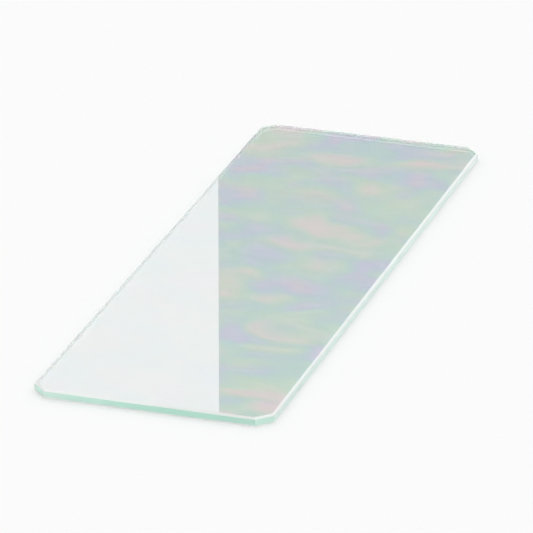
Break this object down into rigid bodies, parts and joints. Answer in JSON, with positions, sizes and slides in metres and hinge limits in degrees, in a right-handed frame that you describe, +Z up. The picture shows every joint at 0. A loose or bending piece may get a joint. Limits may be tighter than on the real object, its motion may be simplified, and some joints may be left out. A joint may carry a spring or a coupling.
{
  "type": "microscope slide",
  "caption": "Flat rectangular glass plate with ground edges, bevelled arrises and clipped corners, which carries a specimen under a microscope.",
  "frame": {"origin": "middle of the underside, on the surface that the slide lies on", "axes": "+X along the slide's length, +Y along its width, +Z up through the glass from its underside to its top face"},
  "size_m": [0.075, 0.025, 0.001],
  "materials": {
    "clear_glass": "clear soda-lime glass with a faint green tint, polished faces, edges ground matt"
  },
  "bodies": {
    "root": {"glass_slide": "clear_glass"}
  },
  "joints": []
}
